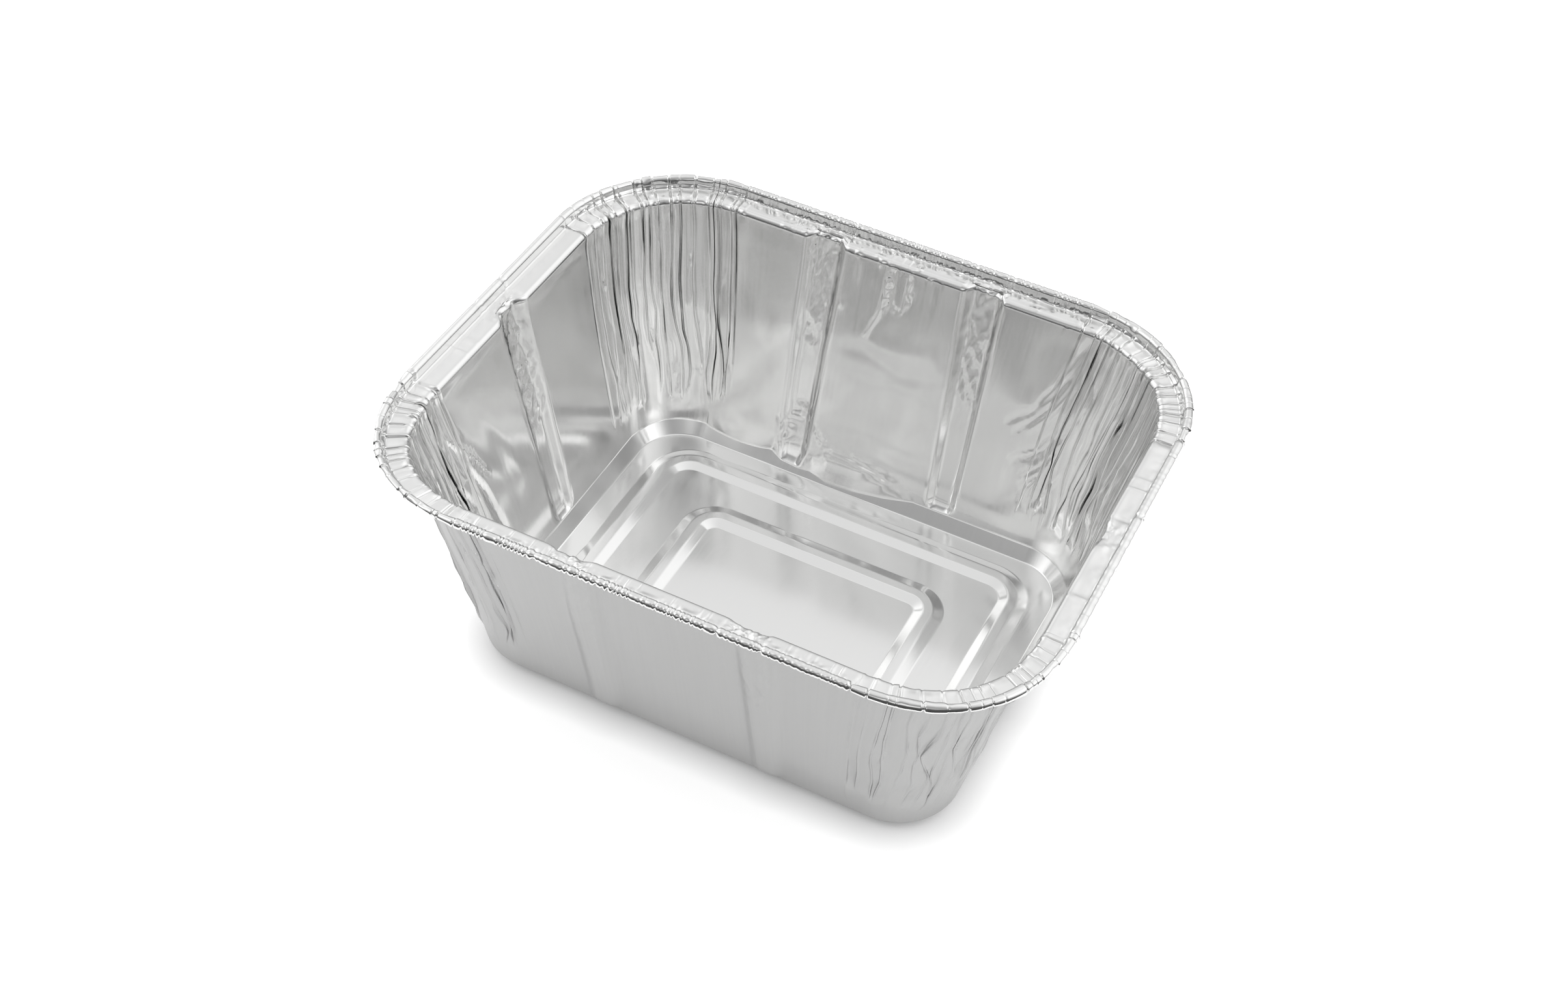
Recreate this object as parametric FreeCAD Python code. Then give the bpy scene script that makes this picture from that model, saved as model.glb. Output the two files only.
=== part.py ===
import FreeCAD, Part
import math
import os

# A small drip tray pressed from one sheet of aluminium foil.
# Millimetres, +Z up, origin at the middle of the flat base it rests on.
# X runs along the length, Y across the width.

# Overall size, over the rolled rim
LENGTH = 152.0
WIDTH = 127.0
HEIGHT = 64.6
FOIL = 0.10                    # gauge of the sheet, the same everywhere

# Rim: a flat flange, a short upstand and a curl that rolls outwards and down
RIM_CORNER_RADIUS = 33.0       # outside of the curl, in plan
CURL_RADIUS = 1.25             # outside of the curl, in section
CURL_END_ANGLE = -120.0        # degrees; where the raw edge of the foil stops
FLANGE_DROP = 2.8              # flange below the top of the curl
CURL_FLATS = 10                # narrow flats that make up the curl's round
RIM_FLATS = 10                 # crimped flats round each corner, in plan
ROOT_RADIUS = 0.5              # where the flange turns up into the upstand
ROOT_FLATS = 2
FLANGE_FLAT = 3.25             # flat of the flange, between root and shoulder
SHOULDER_RADIUS = 1.2          # wall to flange
SHOULDER_FLATS = 3             # narrow flats that make up the shoulder's round

# Base: the walls stand on a crease, and a steep chamfer drops from it to the floor
CREASE_HEIGHT = 3.15
CREASE_RADIUS = 14.1           # corner of the crease, in plan
CHAMFER_INSET = 2.7            # crease to the chamfer's foot, in plan

# Stiffening ridges pressed up in the floor, one inside the other
RIDGE_HEIGHT = 0.8
RIDGE_TOP = 2.2                # flat on top of a ridge
RIDGE_INNER_SLOPE = 2.2        # run of the slope that faces the middle
RIDGE_OUTER_SLOPE = 2.5        # run of the slope that faces the wall
BORDER_ENDS = 4.75             # floor between chamfer and outer ridge, along X
BORDER_SIDES = 3.8             # the same along Y
GAP_ENDS = 8.95                # floor between the two ridges, along X
GAP_SIDES = 7.55               # the same along Y
OUTER_RIDGE_CORNER = 4.3       # inner foot of the outer ridge, in plan
PANEL_CORNER = 2.3             # inner foot of the inner ridge, in plan

# Flutes pressed outwards in the walls: two in each long wall, one in each short one
FLUTE_SPACING = 39.4           # between the two flutes of a long wall
FLUTE_DEPTH_TOP = 2.0
FLUTE_DEPTH_FOOT = 1.4
FLUTE_WIDTH_TOP = 9.2          # mouth on the long walls, at the shoulder
FLUTE_WIDTH_FOOT = 7.4         # mouth on the long walls, at the foot
END_FLUTE_WIDTH_TOP = 6.6      # mouth on the short walls, at the shoulder
END_FLUTE_WIDTH_FOOT = 5.8     # mouth on the short walls, at the foot
FLUTE_FLANK = 1.5              # run of each flank along the wall
FLUTE_FOOT_HEIGHT = 6.0        # the rounded foot starts here and ends at the crease
FLUTE_FOOT_NARROWING = 0.55    # share of the mouth left where the foot meets the crease

# Gathers: the foil drawn together round the corners stands in pleats
PLEATS = 16                    # per corner
PLEAT_DEPTH = 0.85             # crest to valley, at the shoulder
PLEAT_FOOT_HEIGHT = 11.0       # the wall is smooth below this
DART_LENGTH = 2.4              # how far the gathers run out on to the flange
PLEAT_UNEVENNESS = 0.38        # share by which the pleats differ in width
PLEAT_DEPTH_SPREAD = 0.2       # share by which they differ in depth
PLEAT_WANDER = 0.35            # share of a pleat by which the folds stray sideways
PLEAT_BENDS = (0.18, 0.55)     # shares of the gathered height at which the folds bend

# Upright lines that the four corners of the walls and rim turn about
AXIS_X = LENGTH / 2 - RIM_CORNER_RADIUS
AXIS_Y = WIDTH / 2 - RIM_CORNER_RADIUS

# The section is drawn on the side that holds the drippings. R is the distance
# from a corner's axis, or how far the wall stands beyond that axis on a side.
FLANGE_Z = HEIGHT - FLANGE_DROP
CURL_R = RIM_CORNER_RADIUS - CURL_RADIUS
CURL_Z = HEIGHT - CURL_RADIUS
UPSTAND_R = CURL_R - CURL_RADIUS
ROOT_R = UPSTAND_R - ROOT_RADIUS
ROOT_Z = FLANGE_Z + ROOT_RADIUS
SHOULDER_R = ROOT_R - FLANGE_FLAT
SHOULDER_Z = FLANGE_Z - SHOULDER_RADIUS
FOOT_R = CREASE_RADIUS - CHAMFER_INSET

# The wall leaves the crease and runs into the shoulder's arc as a tangent
WALL_RUN = SHOULDER_R - CREASE_RADIUS
WALL_RISE = SHOULDER_Z - CREASE_HEIGHT
DRAFT = math.atan2(WALL_RUN, WALL_RISE) - math.asin(SHOULDER_RADIUS / math.hypot(WALL_RUN, WALL_RISE))
WALL_TOP_Z = SHOULDER_Z + SHOULDER_RADIUS * math.sin(DRAFT)


class Station:
    """A point of the section, with the direction in which the foil's thickness lies."""

    def __init__(self, r, z, normal_r, normal_z):
        self.r = r
        self.z = z
        self.normal_r = normal_r
        self.normal_z = normal_z

    def climb(self):
        """How far up the gathered part of the wall this is, from 0 to 1."""
        share = (self.z - PLEAT_FOOT_HEIGHT) / (WALL_TOP_Z - PLEAT_FOOT_HEIGHT)
        return min(max(share, 0.0), 1.0)


def mitred(r, z, first, second):
    """A station at a fold, where the foil keeps its gauge on both sides."""
    scale = 1.0 / (1.0 + first[0] * second[0] + first[1] * second[1])
    return Station(r, z, (first[0] + second[0]) * scale, (first[1] + second[1]) * scale)


def wall_station(z):
    r = CREASE_RADIUS + (z - CREASE_HEIGHT) * math.tan(DRAFT)
    return Station(r, z, math.cos(DRAFT), -math.sin(DRAFT))


def shoulder_station(turn):
    """turn runs from 0 at the wall to 1 at the flange."""
    angle = DRAFT + turn * (math.pi / 2 - DRAFT)
    normal_r = math.cos(angle)
    normal_z = -math.sin(angle)
    r = SHOULDER_R - SHOULDER_RADIUS * normal_r
    return Station(r, SHOULDER_Z - SHOULDER_RADIUS * normal_z, normal_r, normal_z)


def root_station(turn):
    """turn runs from 0 at the flange to 1 at the upstand."""
    angle = turn * math.pi / 2
    r = ROOT_R + ROOT_RADIUS * math.sin(angle)
    z = ROOT_Z - ROOT_RADIUS * math.cos(angle)
    return Station(r, z, math.sin(angle), -math.cos(angle))


def curl_station(degrees):
    cosine = math.cos(math.radians(degrees))
    sine = math.sin(math.radians(degrees))
    return Station(CURL_R + CURL_RADIUS * cosine, CURL_Z + CURL_RADIUS * sine, -cosine, -sine)


def flute_climb(station):
    """How far up the flutes this is, from 0 to 1."""
    share = (station.z - FLUTE_FOOT_HEIGHT) / (WALL_TOP_Z - FLUTE_FOOT_HEIGHT)
    return min(max(share, 0.0), 1.0)


def flute_depth(station):
    if station.z <= CREASE_HEIGHT:
        return 0.0
    return FLUTE_DEPTH_FOOT + flute_climb(station) * (FLUTE_DEPTH_TOP - FLUTE_DEPTH_FOOT)


def side_points(station, gauge, quarter):
    """The corners of the flutes on one side: mouth, floor, floor, mouth."""
    long_wall = quarter % 2 == 1
    centres = [-FLUTE_SPACING / 2, FLUTE_SPACING / 2] if long_wall else [0.0]
    width_top = FLUTE_WIDTH_TOP if long_wall else END_FLUTE_WIDTH_TOP
    width_foot = FLUTE_WIDTH_FOOT if long_wall else END_FLUTE_WIDTH_FOOT
    depth = flute_depth(station)
    scale = 1.0 if depth > 0 else FLUTE_FOOT_NARROWING
    mouth = (width_foot + flute_climb(station) * (width_top - width_foot)) * scale / 2
    floor = mouth - FLUTE_FLANK * scale
    spread = gauge * station.normal_r * math.tan(math.atan2(depth, FLUTE_FLANK) / 2)
    reach = AXIS_Y if long_wall else AXIS_X
    beyond = reach + station.r + gauge * station.normal_r
    z = station.z + gauge * station.normal_z
    points = []
    for centre in centres:
        for along, out in ((-mouth, 0), (-floor, depth), (floor, depth), (mouth, 0)):
            shifted = centre + along + math.copysign(spread, along)
            points.append(FreeCAD.Vector(beyond + out, shifted, z))
    return [turned(point, quarter) for point in points]


def turned(point, quarter):
    """The same point on another side, by quarter turns about the tray's axis."""
    for _ in range(quarter):
        point = FreeCAD.Vector(-point.y, point.x, point.z)
    return point


def ripple(count, step, quarter):
    """From -1 to 1: it changes from fold to fold, and each corner has its own run."""
    return math.sin(step * count + 1.7 * quarter)


def fold_angles(quarter, climb):
    """Angles of the crests and valleys round one corner, crests first and last."""
    widths = [1.0 + PLEAT_UNEVENNESS * ripple(k, 2.4, quarter) for k in range(PLEATS)]
    total = sum(widths)
    crests = [0.0]
    for width in widths:
        crests.append(crests[-1] + width / total)
    folds = []
    for k in range(PLEATS):
        folds.append(crests[k])
        folds.append((crests[k] + crests[k + 1]) / 2)
    folds.append(1.0)
    stray = PLEAT_WANDER / PLEATS * (1.0 - climb)
    for j in range(1, 2 * PLEATS):
        folds[j] += stray * ripple(j, 0.5, quarter) * math.sin(math.pi * folds[j])
    return [math.pi / 2 * fold for fold in folds]


def corner_centre(quarter):
    return ((AXIS_X, AXIS_Y), (-AXIS_X, AXIS_Y), (-AXIS_X, -AXIS_Y), (AXIS_X, -AXIS_Y))[quarter]


def corner_points(station, gauge, quarter):
    """The crests and valleys of the pleats round one corner."""
    climb = station.climb()
    angles = fold_angles(quarter, climb)
    centre = corner_centre(quarter)
    last = 2 * PLEATS
    points = []
    for j, angle in enumerate(angles):
        depth = PLEAT_DEPTH * math.sqrt(climb) * (1.0 + PLEAT_DEPTH_SPREAD * (ripple(j, 1.3, quarter) - 1.0))
        half_pitch = station.r * math.pi / 4 / PLEATS
        steepness = math.hypot(1.0, depth / half_pitch)
        if j in (0, last):
            push = gauge
        elif j % 2 == 0:
            push = gauge * steepness - depth / 2
        else:
            push = gauge * steepness + depth / 2
        r = station.r + station.normal_r * push
        z = station.z + station.normal_z * push
        turn = angle + quarter * math.pi / 2
        points.append(FreeCAD.Vector(centre[0] + r * math.cos(turn), centre[1] + r * math.sin(turn), z))
    return points


def wall_ring(station, gauge):
    points = []
    for quarter in range(4):
        points += side_points(station, gauge, quarter)
        points += corner_points(station, gauge, quarter)
    return points


def closed_wire(points):
    return Part.Wire(Part.makePolygon(points + [points[0]]))


def flat_face(points):
    return Part.Face(closed_wire(points))


def panel(a, b, c, d):
    """One flat face, or two that meet in a fold where the corners aren't in one plane."""
    normal = (b - a).cross(c - a)
    if abs(normal.normalize().dot(d - a)) < 1e-7:
        return [flat_face([a, b, c, d])]
    return [flat_face([a, b, c]), flat_face([a, c, d])]


def band(low, high):
    """The foil between two rings, with straight lines up the section."""
    faces = []
    for i in range(len(low)):
        k = (i + 1) % len(low)
        faces += panel(low[i], low[k], high[k], high[i])
    return faces


def flange_darts(ring, gauge):
    """The gathers run out on the flange as darts. Gives their faces and the ring where they end."""
    r = SHOULDER_R + DART_LENGTH
    z = FLANGE_Z - gauge
    faces = []
    end_ring = []
    start = 0
    for quarter in range(4):
        side = len(side_points(shoulder_station(1.0), gauge, quarter))
        corner = ring[start + side:start + side + 2 * PLEATS + 1]
        centre = corner_centre(quarter)
        ends = [corner[0]]
        for angle in fold_angles(quarter, 1.0)[2:-2:2]:
            turn = angle + quarter * math.pi / 2
            ends.append(FreeCAD.Vector(centre[0] + r * math.cos(turn), centre[1] + r * math.sin(turn), z))
        ends.append(corner[-1])
        for k in range(PLEATS):
            valley = corner[2 * k + 1]
            faces.append(flat_face([valley, ends[k + 1], ends[k]]))
            if k > 0:
                faces.append(flat_face([corner[2 * k], valley, ends[k]]))
            if k < PLEATS - 1:
                faces.append(flat_face([valley, corner[2 * k + 2], ends[k + 1]]))
        end_ring += ring[start:start + side] + ends
        start += side + 2 * PLEATS + 1
    return faces, end_ring


def rim_ring(station, gauge):
    """A ring of the rim: four straight sides, and a row of short crimped flats round each corner."""
    r = station.r + station.normal_r * gauge
    z = station.z + station.normal_z * gauge
    points = []
    for quarter in range(4):
        centre = corner_centre(quarter)
        for k in range(RIM_FLATS + 1):
            turn = (quarter + k / RIM_FLATS) * math.pi / 2
            points.append(FreeCAD.Vector(centre[0] + r * math.cos(turn), centre[1] + r * math.sin(turn), z))
    return points


def rim_stations():
    """The root, the upstand and the curl, as far as the foil's raw edge."""
    stations = [root_station(k / ROOT_FLATS) for k in range(ROOT_FLATS + 1)]
    roll_step = (180.0 - CURL_END_ANGLE) / CURL_FLATS
    return stations + [curl_station(180.0 - k * roll_step) for k in range(CURL_FLATS + 1)]


def rounded_rectangle(half_x, half_y, radius, z):
    """A closed wire of four lines and four arcs."""
    edges = []
    for quarter in range(4):
        reach, half_side = (half_x, half_y) if quarter % 2 == 0 else (half_y, half_x)
        bulge = radius * (1.0 - math.sqrt(0.5))
        start = turned(FreeCAD.Vector(reach, radius - half_side, z), quarter)
        end = turned(FreeCAD.Vector(reach, half_side - radius, z), quarter)
        middle = turned(FreeCAD.Vector(reach - bulge, half_side - bulge, z), quarter)
        finish = turned(FreeCAD.Vector(reach - radius, half_side, z), quarter)
        edges.append(Part.makeLine(start, end))
        edges.append(Part.Arc(end, middle, finish).toShape())
    return Part.Wire(edges)


def ridge_wires(half_x, half_y, corner, gauge):
    """The four folds of a ridge, from its inner foot outwards, on one side of the foil."""
    inner_half_angle = math.atan2(RIDGE_HEIGHT, RIDGE_INNER_SLOPE) / 2
    outer_half_angle = math.atan2(RIDGE_HEIGHT, RIDGE_OUTER_SLOPE) / 2
    in_shift = gauge * math.tan(inner_half_angle)
    out_shift = gauge * math.tan(outer_half_angle)
    floor = FOIL - gauge
    top = floor + RIDGE_HEIGHT
    steps = (
        (in_shift, floor),
        (RIDGE_INNER_SLOPE + in_shift, top),
        (RIDGE_INNER_SLOPE + RIDGE_TOP - out_shift, top),
        (RIDGE_INNER_SLOPE + RIDGE_TOP + RIDGE_OUTER_SLOPE - out_shift, floor),
    )
    return [rounded_rectangle(half_x + out, half_y + out, corner + out, z) for out, z in steps]


def flat_ring(outer, inner):
    return Part.makeFace([outer, inner], "Part::FaceMakerBullseye")


def floor_faces(foot_ring, gauge):
    """The floor, from the chamfer's foot to the middle panel."""
    ridge_run = RIDGE_INNER_SLOPE + RIDGE_TOP + RIDGE_OUTER_SLOPE
    outer_x = AXIS_X + FOOT_R - BORDER_ENDS - ridge_run
    outer_y = AXIS_Y + FOOT_R - BORDER_SIDES - ridge_run
    panel_x = outer_x - GAP_ENDS - ridge_run
    panel_y = outer_y - GAP_SIDES - ridge_run
    outer = ridge_wires(outer_x, outer_y, OUTER_RIDGE_CORNER, gauge)
    inner = ridge_wires(panel_x, panel_y, PANEL_CORNER, gauge)
    faces = [Part.Face(inner[0]), flat_ring(outer[0], inner[3]), flat_ring(closed_wire(foot_ring), outer[3])]
    for foot, crest, brow, toe in (inner, outer):
        faces += Part.makeLoft([foot, crest], False, True).Faces
        faces.append(flat_ring(brow, crest))
        faces += Part.makeLoft([brow, toe], False, True).Faces
    return faces


def skin(gauge):
    """One side of the foil, from the floor to the raw edge inside the curl."""
    chamfer_run = CREASE_RADIUS - FOOT_R
    chamfer_rise = CREASE_HEIGHT - FOIL
    chamfer_length = math.hypot(chamfer_run, chamfer_rise)
    chamfer_normal = (chamfer_rise / chamfer_length, -chamfer_run / chamfer_length)
    wall_normal = (math.cos(DRAFT), -math.sin(DRAFT))
    gathered = WALL_TOP_Z - PLEAT_FOOT_HEIGHT
    stations = [
        mitred(FOOT_R, FOIL, (0.0, -1.0), chamfer_normal),
        mitred(CREASE_RADIUS, CREASE_HEIGHT, chamfer_normal, wall_normal),
        wall_station(FLUTE_FOOT_HEIGHT),
        wall_station(PLEAT_FOOT_HEIGHT),
    ]
    stations += [wall_station(PLEAT_FOOT_HEIGHT + share * gathered) for share in PLEAT_BENDS]
    stations += [shoulder_station(k / SHOULDER_FLATS) for k in range(SHOULDER_FLATS + 1)]
    rings = [wall_ring(station, gauge) for station in stations]
    faces = floor_faces(rings[0], gauge)
    for low, high in zip(rings, rings[1:]):
        faces += band(low, high)
    darts, dart_ends = flange_darts(rings[-1], gauge)
    rim = [rim_ring(station, gauge) for station in rim_stations()]
    faces += darts
    faces.append(flat_ring(closed_wire(rim[0]), closed_wire(dart_ends)))
    for low, high in zip(rim, rim[1:]):
        faces += band(low, high)
    return faces, rim[-1]


def foil_tray():
    inside, inside_edge = skin(0.0)
    outside, outside_edge = skin(FOIL)
    foil = Part.Compound(inside + outside + band(inside_edge, outside_edge))
    foil.sewShape()
    solid = Part.Solid(foil.Shells[0])
    if solid.Volume < 0:
        solid.reverse()
    return solid


os.makedirs("parts", exist_ok=True)
tray = foil_tray()
tray.exportStep("parts/foil_tray.step")
box = tray.BoundBox
print("foil_tray: valid", tray.isValid(), "solids", len(tray.Solids), "faces", len(tray.Faces))
print("size %.2f x %.2f x %.2f, volume %.1f mm3" % (box.XLength, box.YLength, box.ZLength, tray.Volume))
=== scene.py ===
import math

import bpy
import numpy as np
from mathutils import Matrix, Vector


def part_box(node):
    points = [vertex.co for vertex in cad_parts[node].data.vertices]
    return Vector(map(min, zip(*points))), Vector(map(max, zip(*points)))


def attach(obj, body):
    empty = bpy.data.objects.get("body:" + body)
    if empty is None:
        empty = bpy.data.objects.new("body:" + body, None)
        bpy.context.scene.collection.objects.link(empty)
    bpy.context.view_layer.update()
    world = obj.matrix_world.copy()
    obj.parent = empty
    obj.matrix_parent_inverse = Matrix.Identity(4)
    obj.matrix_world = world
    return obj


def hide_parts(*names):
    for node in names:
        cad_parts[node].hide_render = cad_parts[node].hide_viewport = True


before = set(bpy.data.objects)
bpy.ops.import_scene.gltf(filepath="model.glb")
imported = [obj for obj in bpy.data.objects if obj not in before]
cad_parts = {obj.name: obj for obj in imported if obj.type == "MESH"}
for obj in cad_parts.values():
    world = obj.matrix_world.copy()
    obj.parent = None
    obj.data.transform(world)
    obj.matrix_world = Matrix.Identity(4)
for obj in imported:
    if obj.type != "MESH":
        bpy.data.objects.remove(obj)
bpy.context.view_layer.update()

# A drip tray pressed from one sheet of foil. Lengths are millimetres, and become metres in the meshes.
# A grid of points covers the side that holds the drippings: rows follow the section from the middle of
# the floor to the raw edge of the rim, and columns go round the tray. The other side is laid a foil's
# thickness away from it.
MM = 0.001
NEARLY = 1e-6
box_low, box_high = (np.array(corner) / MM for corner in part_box("foil_tray"))
LENGTH, WIDTH, HEIGHT = box_high - box_low
FOIL = 0.10

# A quarter is one side with the corner that follows it, from +X round to the left
RIGHT, BACK, LEFT, FRONT = range(4)

# ---------------------------------------------------------------- sizes
# Section of the rim and the base
RIM_CORNER_RADIUS = 33.0
CURL_RADIUS = 1.25
CURL_START_ANGLE = 168.0
CURL_END_ANGLE = -120.0
UPSTAND_LEAN = 0.35
FLANGE_DROP = 2.8
ROOT_RADIUS = 0.5
FLANGE_FLAT = 2.9
SHOULDER_RADIUS = 1.2
SHOULDER_EASE = 2.6            # the wider radius of its lower part, where the wall turns into it
EASE_END = math.radians(33.0)
ROLL_HEIGHT = 3.6              # how far below the left shoulder its wall starts to turn over
ROLL_IN = 0.45
CURL_LEAN = 0.03               # what an upright upstand keeps of it where it meets the curl
CREASE_HEIGHT = 3.15
CREASE_RADIUS = 14.1
CHAMFER_INSET = 2.7
CHAMFER_SAG = 0.05
RIDGE_HEIGHT = 0.8
RIDGE_TOP = 2.2
RIDGE_INNER_SLOPE = 2.2
RIDGE_OUTER_SLOPE = 2.5
BORDER_ENDS = 4.75
BORDER_SIDES = 3.8
GAP_ENDS = 8.95
GAP_SIDES = 7.55
OUTER_RIDGE_CORNER = 4.3
PANEL_CORNER = 2.3

# Spacing of the rows, and how the bends between them are rounded off
FLOOR_SPACING = 2.6
WALL_SPACING = 1.2
CHAMFER_ROWS = 12              # down to the chamfer's foot, at least
FINE_SPACING = 0.6             # at the foot of the wall and under the left shoulder
BEND_REACH = 0.34
BEND_SHARE = 0.45              # of the runs beside a bend, at most
BEND_STEPS = 3
SHOULDER_ROWS = 4              # to each of its two radii
FLANGE_ROWS = 7
ROOT_ROWS = 4
UPSTAND_ROWS = 3
CURL_ROWS = 18

# Flutes in the walls
FLUTE_SPACING = 39.4
FLUTE_DEPTH_TOP = 2.0
FLUTE_DEPTH_FOOT = 1.4
FLUTE_WIDTH_TOP = 9.2
FLUTE_WIDTH_FOOT = 7.4
END_FLUTE_WIDTH_TOP = 10.2
END_FLUTE_WIDTH_FOOT = 7.8
FLUTE_FLANK = 1.5
END_FLUTE_FLANK_TOP = 2.9
END_FLUTE_FLANK_FOOT = 1.7
FLUTE_FOOT_HEIGHT = 6.0
FLUTE_FOOT_NARROWING = 0.55
# For the right, back, left and front walls in turn
FLUTE_TOP_LOSS = (0.75, 0.0, 0.0, 0.5)       # share of the depth that is lost at the rim
FLUTE_LOSS_FROM = 40.0                       # height at which that starts
FLUTE_SHARE = (1.0, 1.0, 1.0, 0.75)          # share of the depth that is kept all the way
FLUTE_SOFTNESS = (0.17, 0.32, 0.20, 0.55)    # how far their folds are rounded over
FLUTE_SLACK = (0.0, 0.5, 0.3, 0.0)           # how much softer the folds are at the top, as a share
FLUTE_RUN_OUT = 4.5                          # rows of the flange over which they end
CRUMPLE_RUN_OUT = 6                          # rows of the flange that their crumples reach
FOOT_TOP = 8.0                               # the rows are close below this height

# Gathers round the corners
FOLDS = 17                     # folds per corner
FOLD_FOOT_HEIGHT = 9.0
FOLD_UNEVENNESS = 0.72         # share by which their distances differ
FOLD_DEPTHS = (0.85, 0.92, 0.80, 0.30)       # at the back-right, back-left, front-left and front-right corners
END_FOLDS = ((0.6, 0.6), (0.75, 0.95), (0.8, 0.3), (0.3, 0.3))     # first and last of each corner, as a share
FOLD_RISE = 14.0               # height over which a fold comes to its depth
FINGER_DEPTH = 0.55
FINGER_ROUND = 2.2             # height of a finger's round tip
FINGER_FADE = 11.0
FOOT_SPREAD = 0.42             # how far the gathers reach past the corner's arc at the foot, as a share of it
MERGES = 7                     # pairs of folds that run together on the wall, per corner
MERGE_PULL = 0.46              # share of their gap by which each gives way
MERGE_HEIGHTS = (13.0, 40.0)
MERGE_EXTENTS = (8.0, 15.0)    # how far above and below they are drawn together
SWAY, STRAY, JITTER = 0.5, 0.48, 0.12        # of all folds together, and of each, in shares of a gap
EVENED = 0.08                  # share of the strays that is taken back
CORNER_BULGE = 1.3             # how far the front corners of the rim stand out of the round
BULGE_FROM = 20.0              # height at which that starts
DEEP_FOLD = 0.25               # a fold at least so deep at the shoulder creases the flange
FLANGE_CREASE, FAINT_CREASE = 0.50, 0.14
SHINGLE = 0.22                 # how far the flange tilts between creases
CUT_SHARE = 0.62               # share of the folds that cut the curl
CUT_DEPTHS, FAINT_CUT = (0.40, 0.80), 0.08
TUBE_SIZES, TUBE_TAPER = (0.05, 0.36), 0.34  # the swollen stretches of curl between cuts
CRIMP_DEPTHS = (0.14, 0.34, 0.06, 0.75)      # right, back, left and front rims
RUMPLE_DEPTHS = (0.20, 0.10, 0.03, 0.09)     # their flanges
BAR_SHARE = 0.16               # share of the crimps that run on across the flange
RIM_NOTCH, FLANGE_NOTCH, FLANGE_CRUMPLE = 0.34, 0.18, 0.12   # where a flute ends

# Waves, wrinkles and crumples
BROAD_WAVE, NARROW_WAVE, FINE_WAVE = 0.24, 0.08, 0.02
LEFT_CALM = 0.75               # share of the waves that the left wall lacks
FLUTE_CRUMPLE, CROSS_CRUMPLE = 0.09, 0.10
LEFT_CRUMPLE = 2.2             # times as much on the left wall
FLUTE_TOP_CRUMPLE = 0.22
SHOULDER_RIPPLE = 0.13
SHOULDER_TICK, TICK_LEVEL = 0.42, 0.45
CORNER_WRINKLE, CROSS_WRINKLE = 0.13, 0.07
PINCHES = 14                   # short ones between the folds, per corner

# Derived sizes
AXIS_X = LENGTH / 2 - RIM_CORNER_RADIUS
AXIS_Y = WIDTH / 2 - RIM_CORNER_RADIUS
FLANGE_Z = HEIGHT - FLANGE_DROP
CURL_R = RIM_CORNER_RADIUS - CURL_RADIUS
CURL_Z = HEIGHT - CURL_RADIUS
UPSTAND_R = CURL_R - CURL_RADIUS
ROOT_R = UPSTAND_R - ROOT_RADIUS - UPSTAND_LEAN
ROOT_Z = FLANGE_Z + ROOT_RADIUS
SHOULDER_R = ROOT_R - FLANGE_FLAT
SHOULDER_Z = FLANGE_Z - SHOULDER_RADIUS
FOOT_R = CREASE_RADIUS - CHAMFER_INSET
WALL_RUN = SHOULDER_R - CREASE_RADIUS
WALL_RISE = SHOULDER_Z - CREASE_HEIGHT
DRAFT = math.atan2(WALL_RUN, WALL_RISE) - math.asin(SHOULDER_RADIUS / math.hypot(WALL_RUN, WALL_RISE))
EASE_MORE = SHOULDER_EASE - SHOULDER_RADIUS
BEND_R = SHOULDER_R + EASE_MORE * (1.0 - math.cos(EASE_END - DRAFT)) / math.cos(DRAFT)
EASE_R = BEND_R + EASE_MORE * math.cos(EASE_END)
EASE_Z = SHOULDER_Z - EASE_MORE * math.sin(EASE_END)
WALL_TOP_Z = EASE_Z + SHOULDER_EASE * math.sin(DRAFT)

SEED = 15
rng = np.random.default_rng(SEED)


def ramp(x, low, high):
    """0 below low, 1 above high, smooth between."""
    t = np.clip((x - low) / (high - low), 0.0, 1.0)
    return t * t * (3.0 - 2.0 * t)


# ---------------------------------------------------------------- rows of the section
# A row is (cx, cy, r, z): the corner axes, the distance from them, and the height.


def softened(keys, reach, steps):
    """The polyline through the keys with each inner corner rounded off within reach of it."""
    keys = [np.array(k, float) for k in keys]
    out = [keys[0]]
    for before, here, after in zip(keys, keys[1:], keys[2:]):
        first = here + (before - here) * min(reach / np.linalg.norm(before - here), BEND_SHARE)
        last = here + (after - here) * min(reach / np.linalg.norm(after - here), BEND_SHARE)
        for k in range(steps + 1):
            t = k / steps
            out.append(first * (1 - t) ** 2 + here * 2 * t * (1 - t) + last * t ** 2)
    out.append(keys[-1])
    return out


def between(a, b, count):
    """count rows strictly between two rows."""
    a, b = np.array(a, float), np.array(b, float)
    return [a + (b - a) * (k + 1) / (count + 1) for k in range(count)]


ridge_run = RIDGE_INNER_SLOPE + RIDGE_TOP + RIDGE_OUTER_SLOPE
outer_x = AXIS_X + FOOT_R - BORDER_ENDS - ridge_run
outer_y = AXIS_Y + FOOT_R - BORDER_SIDES - ridge_run
panel_x = outer_x - GAP_ENDS - ridge_run
panel_y = outer_y - GAP_SIDES - ridge_run


def ridge_keys(half_x, half_y, corner):
    cx, cy = half_x - corner, half_y - corner
    crest = corner + RIDGE_INNER_SLOPE
    brow = crest + RIDGE_TOP
    toe = brow + RIDGE_OUTER_SLOPE
    top = FOIL + RIDGE_HEIGHT
    return [(cx, cy, corner, FOIL), (cx, cy, crest, top), (cx, cy, brow, top), (cx, cy, toe, FOIL)]


def on_axis(r, z):
    return (AXIS_X, AXIS_Y, r, z)


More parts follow.
